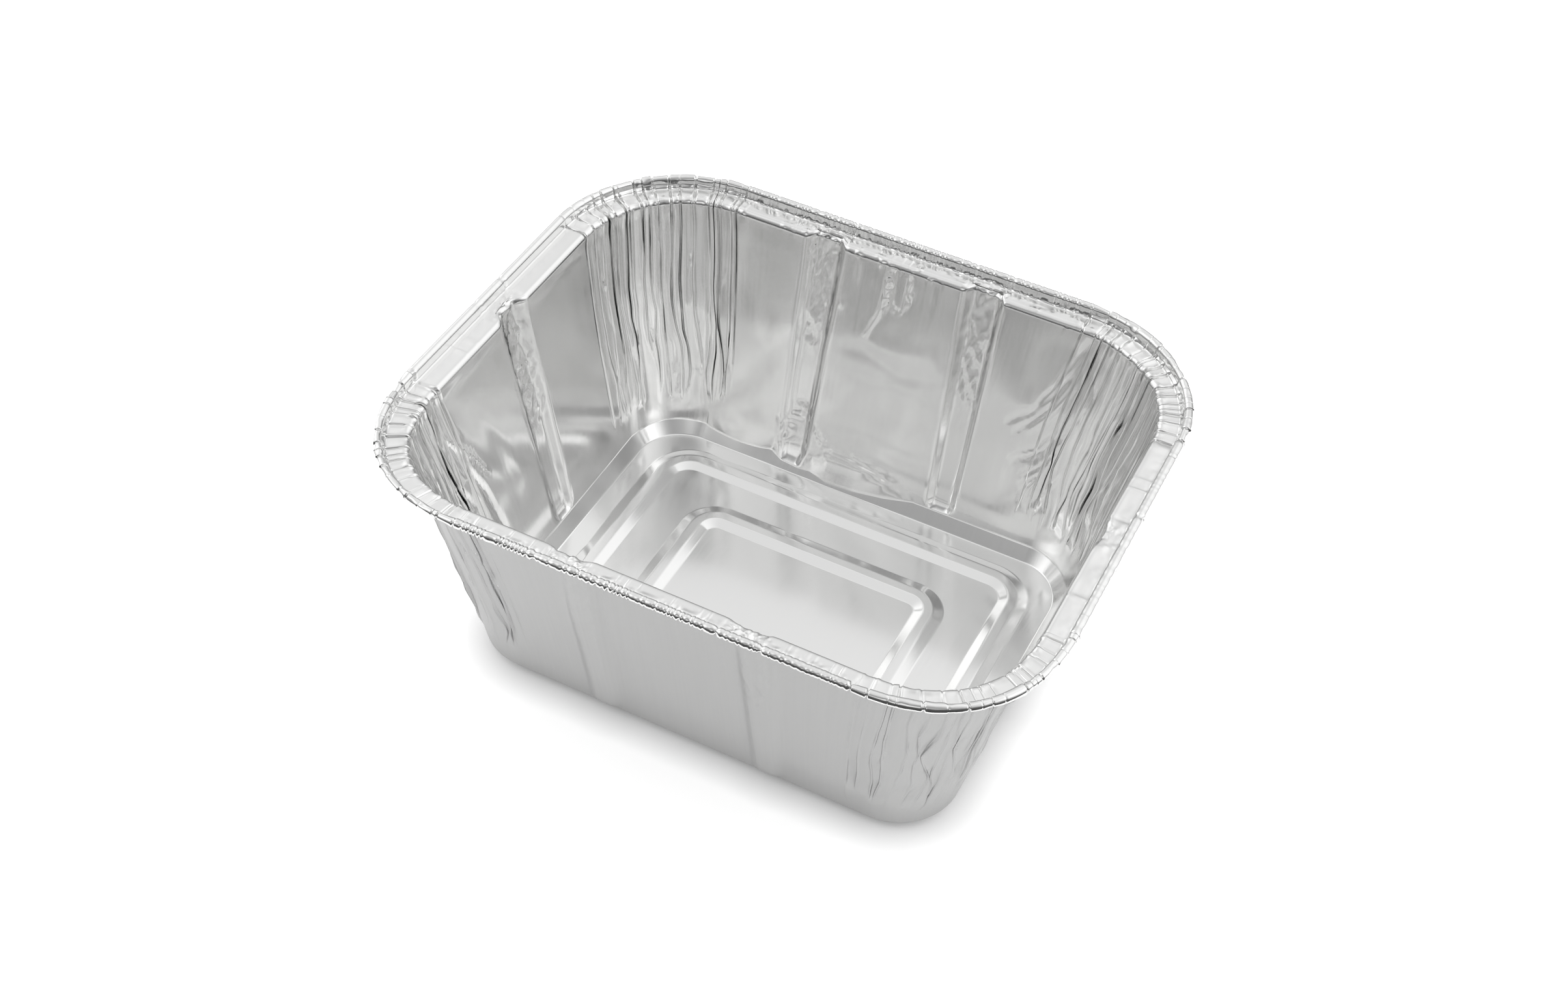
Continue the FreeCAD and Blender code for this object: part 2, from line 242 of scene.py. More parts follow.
inner_ridge = ridge_keys(panel_x, panel_y, PANEL_CORNER)
outer_ridge = ridge_keys(outer_x, outer_y, OUTER_RIDGE_CORNER)
panel_middle = (panel_x - panel_y, 0.0, 0.0, FOIL)
wall_foot = on_axis(CREASE_RADIUS, CREASE_HEIGHT)
wall_top = on_axis(CREASE_RADIUS + (WALL_TOP_Z - CREASE_HEIGHT) * math.tan(DRAFT), WALL_TOP_Z)
keys = [panel_middle] + inner_ridge + outer_ridge + [on_axis(FOOT_R, FOIL), wall_foot, wall_top]
rows = softened(keys, BEND_REACH, BEND_STEPS)


def fill(rows, longest):
    """Rows added where two stand further apart than longest allows at that height."""
    out = [rows[0]]
    for a, b in zip(rows, rows[1:]):
        gap = math.hypot(b[2] - a[2], b[3] - a[3]) if b[3] > CREASE_HEIGHT else np.abs(b - a).max()
        count = int(gap / longest((a[3] + b[3]) / 2))
        out += between(a, b, count) + [b]
    return out


def wall_spacing(z):
    if z < CREASE_HEIGHT:
        return FLOOR_SPACING
    return FINE_SPACING if z < FOOT_TOP or z > WALL_TOP_Z - ROLL_HEIGHT else WALL_SPACING


rows = fill(rows, wall_spacing)
FLOOR_END = next(i for i, row in enumerate(rows) if row[3] > CREASE_HEIGHT - NEARLY)
for r, z, radius, first, last in ((EASE_R, EASE_Z, SHOULDER_EASE, DRAFT, EASE_END),
                                  (BEND_R, SHOULDER_Z, SHOULDER_RADIUS, EASE_END, math.pi / 2)):
    for angle in np.linspace(first, last, SHOULDER_ROWS + 1)[1:]:
        rows.append(np.array(on_axis(r - radius * math.cos(angle), z + radius * math.sin(angle))))
WALL_END = len(rows) - 1
rows += between(rows[-1], on_axis(ROOT_R, FLANGE_Z), FLANGE_ROWS)
for k in range(ROOT_ROWS + 1):
    angle = k / ROOT_ROWS * math.pi / 2
    rows.append(np.array(on_axis(ROOT_R + ROOT_RADIUS * math.sin(angle),
                                 ROOT_Z - ROOT_RADIUS * math.cos(angle))))
FLANGE_END = len(rows) - 1
curl_angles = np.radians(np.linspace(CURL_START_ANGLE, CURL_END_ANGLE, CURL_ROWS + 1))
curl = [np.array(on_axis(CURL_R + CURL_RADIUS * math.cos(angle), CURL_Z + CURL_RADIUS * math.sin(angle)))
        for angle in curl_angles]
rows += between(rows[-1], curl[0], UPSTAND_ROWS)
CURL_START = len(rows)
rows += curl

rows = np.array(rows)
row_cx, row_cy, row_r, row_z = rows.T
ROWS = len(rows)

# The direction of each row's thickness, in section, away from the drippings
reach_out = row_r + (row_cx + row_cy) / 2
tangent_r = np.gradient(reach_out)
tangent_z = np.gradient(row_z)
tangent_length = np.hypot(tangent_r, tangent_z)
row_nr = tangent_z / tangent_length
row_nz = -tangent_r / tangent_length
row_run = np.concatenate([[0.0], np.cumsum(np.hypot(np.diff(reach_out), np.diff(row_z)))])

# ---------------------------------------------------------------- columns round the tray
# Columns gather at the folds: each cell runs from one fold, or crimp, to the next.
CORNER_SHARES = np.array([0.0, 0.04, 0.085, 0.13, 0.20, 0.34, 0.50, 0.66, 0.80, 0.87, 0.915, 0.96])
SIDE_SHARES = np.array([0.0, 0.3, 0.72])
LONG_CRIMPS = 80
SHORT_CRIMPS = 32
CRIMP_UNEVENNESS = 0.5


def uneven(count, spread):
    """Edges from 0 to 1 of count cells whose widths differ by the spread."""
    widths = 1.0 + spread * rng.uniform(-1.0, 1.0, count)
    return np.concatenate([[0.0], np.cumsum(widths)]) / widths.sum()


long_cells = uneven(LONG_CRIMPS, CRIMP_UNEVENNESS)
short_cells = uneven(SHORT_CRIMPS, CRIMP_UNEVENNESS)

columns = []     # (quarter, on a side, cell, share of the cell)
for quarter in (RIGHT, BACK, LEFT, FRONT):
    for k in range(len(long_cells if quarter % 2 else short_cells) - 1):
        columns += [(quarter, 1, k, share) for share in SIDE_SHARES]
    for k in range(FOLDS):
        columns += [(quarter, 0, k, share) for share in CORNER_SHARES]
col_quarter, col_side, col_cell, col_share = (np.array(c) for c in zip(*columns))
col_quarter, col_cell, col_side = col_quarter.astype(int), col_cell.astype(int), col_side.astype(bool)
COLUMNS = len(columns)

row_at = np.arange(ROWS)
on_wall = (row_at > FLOOR_END) & (row_at <= WALL_END)
on_flange = (row_at > WALL_END) & (row_at <= FLANGE_END)
on_rim = row_at > FLANGE_END
height = np.clip(row_z, 0.0, FLANGE_Z)
climb = np.where(row_at > FLOOR_END, ramp(height, FOLD_FOOT_HEIGHT, WALL_TOP_Z), 0.0)
foot_spread = FOOT_SPREAD * np.clip((WALL_TOP_Z - height) / (WALL_TOP_Z - FOLD_FOOT_HEIGHT), 0.0, 1.0)
flute_climb = np.clip((row_z - FLUTE_FOOT_HEIGHT) / (WALL_TOP_Z - FLUTE_FOOT_HEIGHT), 0.0, 1.0)


def wander(count, knots, size):
    """A stray for each of count lines as it climbs the wall, straight from knot to knot."""
    levels = np.linspace(0.0, FLANGE_Z, knots)
    levels[1:-1] += rng.uniform(-0.3, 0.3, knots - 2) * FLANGE_Z / (knots - 1)
    table = rng.uniform(-1.0, 1.0, (count, knots)) * size
    return np.stack([np.interp(height, levels, table[k]) for k in range(count)], axis=1)


def lapped(distance, over):
    """The foil beside a fold's line: the edge that laps over stands up, and the other runs down under it."""
    top = np.interp(distance, [0.0, 0.04, 0.085, 0.13, 0.20, 0.30], [1.0, 0.60, -0.15, -0.48, -0.20, 0.0])
    under = np.interp(distance, [0.0, 0.04, 0.085, 0.15, 0.26], [1.0, 0.80, 0.40, -0.10, 0.0])
    return top * over + under * (1.0 - over)


# ---- place of every grid point, before it is pushed
out_x, out_y, base_x, base_y = (np.zeros((ROWS, COLUMNS)) for _ in range(4))
push = np.zeros((ROWS, COLUMNS))        # along the section's own normal, away from the drippings
level_out = np.zeros((ROWS, COLUMNS))   # level, away from the middle
lift = np.zeros((ROWS, COLUMNS))        # straight up
flute_floor = np.zeros((ROWS, COLUMNS))  # 1 on the floor of a flute
around = np.zeros(COLUMNS)              # distance round the tray at the shoulder
spot = np.zeros((ROWS, COLUMNS))        # the same, of the spot where each row has the column


def flute_foot(row):
    """1 above the rounded foot of the flutes, and 0 where it ends at the crease."""
    fall = np.clip((FLUTE_FOOT_HEIGHT - row_z[row]) / (FLUTE_FOOT_HEIGHT - CREASE_HEIGHT), 0.0, 1.0)
    return math.sqrt(1.0 - fall ** 2)


def flute_keys(long_wall, row):
    """Mouth and floor edges of a side's flutes at one row, in millimetres along the side."""
    centres = [-FLUTE_SPACING / 2, FLUTE_SPACING / 2] if long_wall else [0.0]
    top = FLUTE_WIDTH_TOP if long_wall else END_FLUTE_WIDTH_TOP
    foot = FLUTE_WIDTH_FOOT if long_wall else END_FLUTE_WIDTH_FOOT
    scale = FLUTE_FOOT_NARROWING + (1.0 - FLUTE_FOOT_NARROWING) * flute_foot(row)
    mouth = (foot + flute_climb[row] * (top - foot)) * scale / 2
    flank = FLUTE_FLANK
    if not long_wall:
        flank = END_FLUTE_FLANK_FOOT + flute_climb[row] * (END_FLUTE_FLANK_TOP - END_FLUTE_FLANK_FOOT)
    floor = mouth - flank * scale
    return np.array([centre + side for centre in centres for side in (-mouth, -floor, floor, mouth)])


def flute_depth(row, loss):
    """How deep a flute is at one row, if it loses this share of its depth by the rim."""
    if row > WALL_END:
        return FLUTE_DEPTH_TOP * (1.0 - ramp(float(row - WALL_END), 0.0, FLUTE_RUN_OUT)) * (1.0 - loss)
    depth = FLUTE_DEPTH_FOOT + flute_climb[row] * (FLUTE_DEPTH_TOP - FLUTE_DEPTH_FOOT)
    return depth * flute_foot(row) * (1.0 - loss * ramp(row_z[row], FLUTE_LOSS_FROM, WALL_TOP_Z))


def flute_shape(s, edges, soft):
    """0 beside the flutes and 1 on their floors, with folds between, rounded over about soft millimetres."""
    shape = 0.0
    for step, weight in ((-2, 1), (-1, 2), (0, 3), (1, 2), (2, 1)):
        shape = shape + weight / 9 * np.interp(s + step * soft, edges, [0.0, 1.0, 1.0, 0.0] * (len(edges) // 4))
    return shape


def lay_side(quarter, run):
    """Places the columns of one side, with its flutes. run is the distance round the tray so far."""
    long_wall = quarter % 2 == 1
    cells = long_cells if long_wall else short_cells
    if quarter >= 2:
        cells = 1.0 - cells[::-1]
    side_cos, side_sin = ((1, 0), (0, 1), (-1, 0), (0, -1))[quarter]
    on = np.flatnonzero((col_quarter == quarter) & col_side)
    k = col_cell[on]
    share = cells[k] + np.diff(cells)[k] * col_share[on]
    half = AXIS_X if long_wall else AXIS_Y
    reference = (2.0 * share - 1.0) * half
    top_keys = flute_keys(long_wall, WALL_END)
    around[on] = run + share * 2 * half
    for row in range(ROWS):
        row_half = row_cx[row] if long_wall else row_cy[row]
        reach = (row_cy[row] if long_wall else row_cx[row]) + row_r[row]
        here = top_keys if row > WALL_END else flute_keys(long_wall, max(row, FLOOR_END)) * row_half / half
        end = row_half - row_r[row] * math.pi / 4 * foot_spread[row]
        s = np.interp(reference, np.concatenate([[-half], top_keys, [half]]),
                      np.concatenate([[-end], here, [end]]))
        spot[row, on] = run + half + s
        base_x[row, on] = side_cos * reach - side_sin * s
        base_y[row, on] = side_sin * reach + side_cos * s
        out_x[row, on] = side_cos
        out_y[row, on] = side_sin
        if FLOOR_END < row <= WALL_END + CRUMPLE_RUN_OUT:
            slack = 1.0 + FLUTE_SLACK[quarter] * flute_climb[row]
            shape = flute_shape(s, here, FLUTE_SOFTNESS[quarter] * slack)
            level_out[row, on] = shape * FLUTE_SHARE[quarter] * flute_depth(row, FLUTE_TOP_LOSS[quarter])
            flute_floor[row, on] = shape
    return run + 2 * half


def lay_corner(quarter, run):
    """Places the columns of the corner that follows a side, with its gathers."""
    on = np.flatnonzero((col_quarter == quarter) & ~col_side)
    k = col_cell[on]
    f = col_share[on][None, :]
    turn = quarter * math.pi / 2
    # where each fold runs: straight from bend to bend, and here and there two run together
    edges = uneven(FOLDS, FOLD_UNEVENNESS)
    stray = wander(1, 7, SWAY) + wander(FOLDS + 1, 6, STRAY) + wander(FOLDS + 1, 14, JITTER)
    stray = stray / FOLDS * (1.0 - climb[:, None] ** 2) * np.sqrt(np.maximum(np.sin(math.pi * edges), 0.0))
    at = edges + stray
    for first in rng.permutation(np.arange(1, FOLDS - 1))[:MERGES]:
        meet, extent = rng.uniform(*MERGE_HEIGHTS), rng.uniform(*MERGE_EXTENTS)
        pull = MERGE_PULL * np.clip(1.0 - np.abs(height - meet) / extent, 0.0, 1.0)
        gap = at[:, first + 1] - at[:, first]
        at[:, first] += pull * gap
        at[:, first + 1] -= pull * gap
    at = np.maximum.accumulate(at, axis=1)
    at = (1.0 - EVENED) * at + EVENED * edges
    theta = (at[:, k] + (at[:, k + 1] - at[:, k]) * f) * math.pi / 2 + turn
    around[on] = run + (theta[WALL_END] - turn) * SHOULDER_R
    # low on the wall the outer folds stand past the arc, on the flat walls
    swept = (theta - turn - math.pi / 4) * (1.0 + foot_spread[:, None])
    theta = turn + math.pi / 4 + np.clip(swept, -math.pi / 4, math.pi / 4)
    past = row_r[:, None] * (swept - np.clip(swept, -math.pi / 4, math.pi / 4))
    sign_x, sign_y = ((1, 1), (-1, 1), (-1, -1), (1, -1))[quarter]
    out_x[:, on] = np.cos(theta)
    out_y[:, on] = np.sin(theta)
    base_x[:, on] = sign_x * row_cx[:, None] + row_r[:, None] * np.cos(theta) - past * np.sin(theta)
    base_y[:, on] = sign_y * row_cy[:, None] + row_r[:, None] * np.sin(theta) + past * np.cos(theta)
    spot[:, on] = run + (theta - turn) * SHOULDER_R + past
    if quarter in (LEFT, FRONT):
        stands_out = CORNER_BULGE * ramp(row_z, BULGE_FROM, FLANGE_Z)[:, None]
        level_out[:, on] += stands_out * np.sin(2.0 * (theta - turn)) ** 2
    # how deep it is: most fade out low on the wall, a few higher up
    strength = rng.uniform(0.35, 1.0, FOLDS + 1)
    strength[[0, -1]] = END_FOLDS[quarter]
    if quarter == LEFT:
        # the front-left corner's first folds are deep and far between, and its last ones slight
        strength[:6] = (1.5, 0.4, 1.4, 0.4, 1.2, 0.5)
        strength[-7:] *= 0.45
    ends = FOLD_FOOT_HEIGHT + rng.gamma(1.0, 3.5, FOLDS + 1)
    reach = np.clip((height[:, None] - ends) / FOLD_RISE, 0.0, 1.0) ** 0.5
    deep = FOLD_DEPTHS[quarter] * np.maximum(strength * reach * (1.0 + wander(FOLDS + 1, 12, 0.6)), 0.0)
    over = np.clip(0.5 + rng.uniform(-0.9, 0.9, FOLDS + 1) + wander(FOLDS + 1, 7, 0.3), 0.0, 1.0)
    folds = deep[:, k] * lapped(f, over[:, k]) + deep[:, k + 1] * lapped(1.0 - f, 1.0 - over[:, k + 1])
    # facets between them, and fingers with round tips where the gathers end
    tip = np.maximum(ends[:-1], ends[1:]) - 1.5
    above = height[:, None] - tip
    fade = np.exp(-np.clip(above - 5.0, 0.0, None) / FINGER_FADE)
    finger = np.sqrt(np.clip(above / FINGER_ROUND, 0.0, 1.0)) * fade
    finger = finger * FINGER_DEPTH * rng.uniform(-0.5, 1.0, FOLDS)
    reach = (reach[:, :-1] + reach[:, 1:]) / 2
    tilt = reach * (0.16 * rng.uniform(-1, 1, FOLDS) + wander(FOLDS, 9, 0.14))
    bulge = reach * wander(FOLDS, 10, 0.08)
    facets = tilt[:, k] * (f - 0.5) + bulge[:, k] * 4 * f * (1 - f)
    facets = facets + finger[:, k] * (1.0 - (2.0 * f - 1.0) ** 4)
    gathers = folds - facets
    # the flange: thin radial creases, some with one edge over the other
    fine = np.where(deep[WALL_END] > DEEP_FOLD, FLANGE_CREASE, FAINT_CREASE)
    top_over = over[WALL_END]
    crease = fine[k] * lapped(f, top_over[k]) + fine[k + 1] * lapped(1.0 - f, 1.0 - top_over[k + 1])
    shingle = rng.uniform(-SHINGLE, SHINGLE, FOLDS)[k] * (f - 0.5)
    ahead = np.clip((row_at - WALL_END) / 3.0, 0.0, 1.0)[:, None]
    flange = gathers[WALL_END] * (1 - ahead) + (crease - shingle) * ahead
    # the upstand and curl: short tubes that narrow into one another, with pinched cuts between them
    is_cut = rng.uniform(0.0, 1.0, FOLDS + 1) < CUT_SHARE
    is_cut[[0, -1]] = True
    cut = np.where(is_cut, rng.uniform(*CUT_DEPTHS, FOLDS + 1), FAINT_CUT)
    place = edges[k] + np.diff(edges)[k] * f[0]
    starts = edges[is_cut]
    tube = np.clip(np.searchsorted(starts, place, side="right") - 1, 0, len(starts) - 2)
    along = (place - starts[tube]) / (starts[tube + 1] - starts[tube])
    size = rng.uniform(*TUBE_SIZES, len(starts))[tube]
    size = size + rng.uniform(-TUBE_TAPER, TUBE_TAPER, len(starts))[tube] * (along - 0.5)
    notch = cut[k] * np.interp(f, [0.0, 0.04, 0.085], [1.0, 0.4, 0.0])
    notch = notch + cut[k + 1] * np.interp(1.0 - f, [0.0, 0.04, 0.085], [1.0, 0.2, 0.0])
    rim = np.maximum(size, 0.0) + notch + 0.04
    for rows_of, shape in ((on_wall, gathers), (on_flange, flange), (on_rim, rim)):
        push[:, on] += np.where(rows_of[:, None], shape, 0.0)
    return run + SHOULDER_R * math.pi / 2


run = 0.0
for quarter in (RIGHT, BACK, LEFT, FRONT):
    run = lay_side(quarter, run)
    run = lay_corner(quarter, run)
PERIMETER = run

# only the back's upstand leans: elsewhere it is upright
upright = np.interp(row_at, [WALL_END, FLANGE_END - 4, FLANGE_END, CURL_START],
                    [0.0, UPSTAND_LEAN, UPSTAND_LEAN, CURL_LEAN])
upright[row_at > CURL_START] = 0.0
facing_back = (out_y[WALL_END] + 1.0) / 2.0
level_out += upright[:, None] * (1.0 - ramp(facing_back, 0.5, 0.85))[None, :]

# the left wall turns over into its shoulder more slowly
rolled = np.where(on_wall, np.clip((row_z - WALL_TOP_Z + ROLL_HEIGHT) / ROLL_HEIGHT, 0.0, 1.0) ** 2, 0.0)
rolled = np.where(row_at > WALL_END, np.interp(row_at, [WALL_END, FLANGE_END - 5], [1.0, 0.0]), rolled)
level_out -= ROLL_IN * rolled[:, None] * ramp(-out_x[WALL_END], 0.6, 0.95)[None, :]


def wrapped_noise(cell_along, cell_up, lean=0.0):
    """Smooth noise from -1 to 1 over the foil, which closes on itself round the tray."""
    up = np.clip(row_run - row_run[FLOOR_END] + 20.0, 0.0, None)
    count = max(4, round(PERIMETER / cell_along))
    table = rng.uniform(-1.0, 1.0, (count, int(up.max() / cell_up) + 3))
    x = (around[None, :] + lean * up[:, None]) / PERIMETER * count
    y = np.broadcast_to(up[:, None] / cell_up, x.shape)
    x0, y0 = np.floor(x).astype(int), np.floor(y).astype(int)
    fx, fy = x - x0, y - y0
    fx = fx * fx * fx * (fx * (fx * 6 - 15) + 10)
    fy = fy * fy * fy * (fy * (fy * 6 - 15) + 10)
    low = table[x0 % count, y0] * (1 - fx) + table[(x0 + 1) % count, y0] * fx
    high = table[x0 % count, y0 + 1] * (1 - fx) + table[(x0 + 1) % count, y0 + 1] * fx
    return low * (1 - fy) + high * fy


def folded_noise(cell_along, cell_up, lean=0.0):
    """As wrapped_noise, with sharp creases where it changes sign."""
    return 1.0 - 2.0 * np.abs(wrapped_noise(cell_along, cell_up, lean))


# ---- soft waves over the walls
open_wall = ramp(row_z, CREASE_HEIGHT + 1.0, CREASE_HEIGHT + 9.0)
open_wall = open_wall * (1.0 - ramp(row_z, WALL_TOP_Z - 5.0, WALL_TOP_Z))
open_wall = np.where(on_wall, open_wall, 0.0)[:, None]
calm = 1.0 - LEFT_CALM * ramp(-out_x[WALL_END], 0.5, 1.0)[None, :]
push += open_wall * calm * (BROAD_WAVE * wrapped_noise(26.0, 18.0) + NARROW_WAVE * wrapped_noise(9.0, 22.0, 0.2)
                            + FINE_WAVE * wrapped_noise(4.0, 5.0))

# ---- the chamfer sags between the floor and the walls
chamfer_share = np.clip((row_z - FOIL) / (CREASE_HEIGHT - FOIL), 0.0, 1.0)
on_chamfer = (row_r > FOOT_R) & (row_z < CREASE_HEIGHT)
push += np.where(on_chamfer, CHAMFER_SAG * 4.0 * chamfer_share * (1.0 - chamfer_share), 0.0)[:, None]

# ---- crumpled foil in the upper half of the flutes, and where they cut the shoulder
upper_flute = flute_floor * np.where(on_wall, ramp(row_z, 26.0, 38.0), 0.0)[:, None]
crumple = FLUTE_CRUMPLE * folded_noise(1.6, 3.6, 0.5) + CROSS_CRUMPLE * folded_noise(2.0, 4.2, -0.5)
push += upper_flute * crumple * np.where(col_quarter == LEFT, LEFT_CRUMPLE, 1.0)[None, :]
flute_top = flute_floor * np.where(on_wall | on_flange, ramp(row_z, WALL_TOP_Z - 6.0, WALL_TOP_Z), 0.0)[:, None]
push += flute_top * FLUTE_TOP_CRUMPLE * folded_noise(1.6, 1.6)


def along_rows(stops, values):
    """One value for each row, straight from stop to stop."""
    return np.interp(row_at, stops, values)[:, None]


# ripples in the corners' shoulders, and small ticks in the back one
shoulder_rows = along_rows([WALL_END - 10, WALL_END - 7, WALL_END, WALL_END + 2], [0.0, 1.0, 1.0, 0.0])
push += shoulder_rows * np.where(col_side, 0.0, 1.0)[None, :] * SHOULDER_RIPPLE * wrapped_noise(1.0, 3.0)
back_side = (col_side & (col_quarter == BACK))[None, :]
push -= shoulder_rows * back_side * SHOULDER_TICK * np.clip(wrapped_noise(1.5, 3.0) - TICK_LEVEL, 0.0, 1.0)

# soft wrinkles on the front-right corner
wrinkled = (~col_side & (col_quarter == FRONT))[None, :] * open_wall
push += wrinkled * (CORNER_WRINKLE * wrapped_noise(2.4, 8.0, 0.15)
                    + CROSS_WRINKLE * folded_noise(1.9, 5.0, -0.2))


def off_middle(side):
    """How far each point is round the tray from a side's middle: along +X on front and back, else along +Y."""
    arc = SHOULDER_R * math.pi / 2
    middle = (side + 1) * AXIS_Y + side * (arc + AXIS_X)
    away_from = (spot - middle + PERIMETER / 2) % PERIMETER - PERIMETER / 2
    return away_from * (1.0, -1.0, -1.0, 1.0)[side]


def dent(side, along, z, wide, tall, depth):
    """A soft dent in one wall, away from the drippings: its place along the wall, height, size and depth."""
    across = (off_middle(side) - along) / wide
    shape = np.exp(-across ** 2 - ((row_z[:, None] - z) / tall) ** 2)
    push[:] += np.where(on_wall[:, None], depth * shape, 0.0)


def crease(side, path, wide, depth, soft=False):
    """A crease along a path of (along, z) points in one wall, which fades out at both ends."""
    off = off_middle(side)
    level = row_z[:, None]
    lengths = [math.dist(a, b) for a, b in zip(path, path[1:])]
    whole, done = sum(lengths), 0.0
    best, share = np.full(push.shape, 1e3), np.zeros(push.shape)
    for (ax, az), (bx, bz), length in zip(path, path[1:], lengths):
        t = np.clip(((off - ax) * (bx - ax) + (level - az) * (bz - az)) / length ** 2, 0.0, 1.0)
        distance = np.hypot(off - ax - t * (bx - ax), level - az - t * (bz - az))
        nearer = distance < best
        best = np.where(nearer, distance, best)
        share = np.where(nearer, (done + t * length) / whole, share)
        done += length
    shape = np.exp(-(best / wide) ** 2) if soft else np.clip(1.0 - best / wide, 0.0, 1.0)
    fade = np.sqrt(np.maximum(np.sin(math.pi * share), 0.0))
    push[:] += np.where(on_wall[:, None], depth * shape * fade, 0.0)


# the back wall's middle panel: two chains of small dents near the top, and slack waves below
for along, z, wide, tall, depth in (
        (-2.7, 59.0, 0.7, 0.9, 0.36), (-3.1, 56.9, 0.6, 0.9, -0.42), (-2.6, 54.9, 0.6, 0.9, 0.50),
        (-3.2, 52.8, 0.6, 1.0, -0.40), (-2.6, 50.8, 0.6, 0.9, 0.40), (2.0, 58.4, 0.6, 1.2, 0.38),
        (2.7, 55.8, 0.6, 1.0, -0.36), (2.3, 53.2, 0.6, 1.0, 0.36), (-11.0, 56.0, 0.6, 4.5, 0.12),
        (8.0, 56.0, 0.6, 4.0, 0.12), (-15.0, 57.0, 0.5, 5.0, 0.12), (-13.4, 48.0, 1.2, 1.4, -0.16)):
    dent(BACK, along, z, wide, tall, depth)
crease(BACK, [(-3.4, 61.5), (-3.6, 54.0), (-3.8, 49.0), (-5.0, 46.0), (-6.6, 41.0)], 0.8, -0.34)
crease(BACK, [(-1.9, 60.5), (-1.8, 52.0), (0.2, 49.4), (1.4, 51.0), (1.6, 58.0)], 0.6, 0.26)
for path, wide, depth in (
        ([(-16.0, 36.0), (-6.0, 37.5), (4.0, 35.0), (16.0, 37.0)], 1.8, 0.06),
        ([(-15.0, 30.0), (-3.0, 29.0), (8.0, 31.0), (16.0, 28.5)], 2.0, -0.06),
        ([(-8.0, 41.0), (2.0, 40.0), (12.0, 42.0)], 2.6, -0.08),
        ([(-14.0, 24.0), (0.0, 22.5), (14.0, 25.0)], 2.6, 0.10)):
    crease(BACK, path, wide, depth, soft=True)

# its foot bulges in between the flutes, and is pinched at the left one
off_back = off_middle(BACK)
bulge_out = np.interp(off_back, [-25.5, -22.0, -17.0, -14.0, -9.0, -2.0, 6.0, 13.0],
                      [0.0, 1.2, 1.5, 1.3, 2.1, 1.9, 1.1, 0.0])
bulge_top = np.interp(off_back, [-25.0, -21.0, -17.0, -14.8, -14.0, -10.0, 0.0, 14.0],
                      [4.2, 6.8, 6.8, 4.6, 4.6, 7.0, 6.0, 3.8])
slack_out = 0.85 * np.sin(math.pi * np.clip((off_back + 43.5) / 18.5, 0.0, 1.0)) ** 0.7
level = row_z[:, None]
near_foot = np.where(row_at > FLOOR_END - CHAMFER_ROWS, 1.0, 0.0)[:, None]
for out, top in ((bulge_out, bulge_top), (slack_out, 8.0)):
    rise = np.minimum((level - FOIL) / (CREASE_HEIGHT - FOIL), (top - level) / (top - CREASE_HEIGHT))
    inward = near_foot * out * np.clip(rise, 0.0, 1.0)
    level_out -= inward
    lift -= inward * (CREASE_HEIGHT - FOIL) / CHAMFER_INSET
crease(BACK, [(-14.9, 13.5), (-13.0, 10.3), (-10.8, 8.4), (-5.0, 8.6), (3.0, 7.0), (11.0, 4.6)], 0.9, -0.45)
crease(BACK, [(-13.5, 12.0), (-10.0, 7.2), (-3.0, 7.1), (5.0, 5.6)], 0.9, 0.30)
crease(BACK, [(-13.0, 13.5), (-2.0, 14.8), (8.4, 13.6), (17.0, 15.2)], 1.8, 0.16, soft=True)
crease(BACK, [(-25.0, 11.4), (-20.9, 13.0), (-16.0, 13.9)], 0.7, -0.5)
dent(BACK, -19.6, 15.6, 1.8, 1.4, 0.45)
dent(BACK, -22.2, 9.2, 1.4, 2.2, -0.35)

# strong creases run down to the left from the back's right-hand corner
for path, wide, depth in (
        ([(46.0, 60.0), (43.0, 52.0), (40.5, 45.0), (36.5, 38.0), (30.5, 32.5)], 0.9, 0.36),
        ([(47.5, 57.0), (44.5, 47.0), (41.0, 39.0), (35.5, 32.0)], 0.8, -0.30),
        ([(43.5, 50.0), (39.5, 42.0), (34.0, 36.0)], 0.8, -0.24),
        ([(41.0, 40.5), (37.0, 35.0), (33.0, 31.0)], 0.7, 0.26),
        ([(44.5, 36.0), (40.0, 28.0), (34.0, 23.5)], 0.9, 0.46),
        ([(45.5, 33.0), (41.5, 25.5), (36.5, 20.5)], 0.8, -0.36),
        ([(45.0, 29.5), (41.5, 22.5), (37.5, 17.5)], 0.9, 0.44),
        ([(43.0, 26.0), (40.0, 19.0), (38.5, 13.0)], 0.8, -0.34),
        ([(47.0, 25.0), (43.5, 17.0), (41.5, 11.5)], 0.8, 0.38)):
    crease(BACK, path, wide, depth, soft=True)

# the left wall: slack that slants down from the front corner
crease(LEFT, [(-23.0, 52.0), (-19.5, 41.0), (-14.5, 27.0), (-13.0, 16.0)], 2.6, 0.10, soft=True)
crease(LEFT, [(-17.5, 48.0), (-13.5, 34.0), (-10.0, 20.0)], 2.2, -0.06, soft=True)

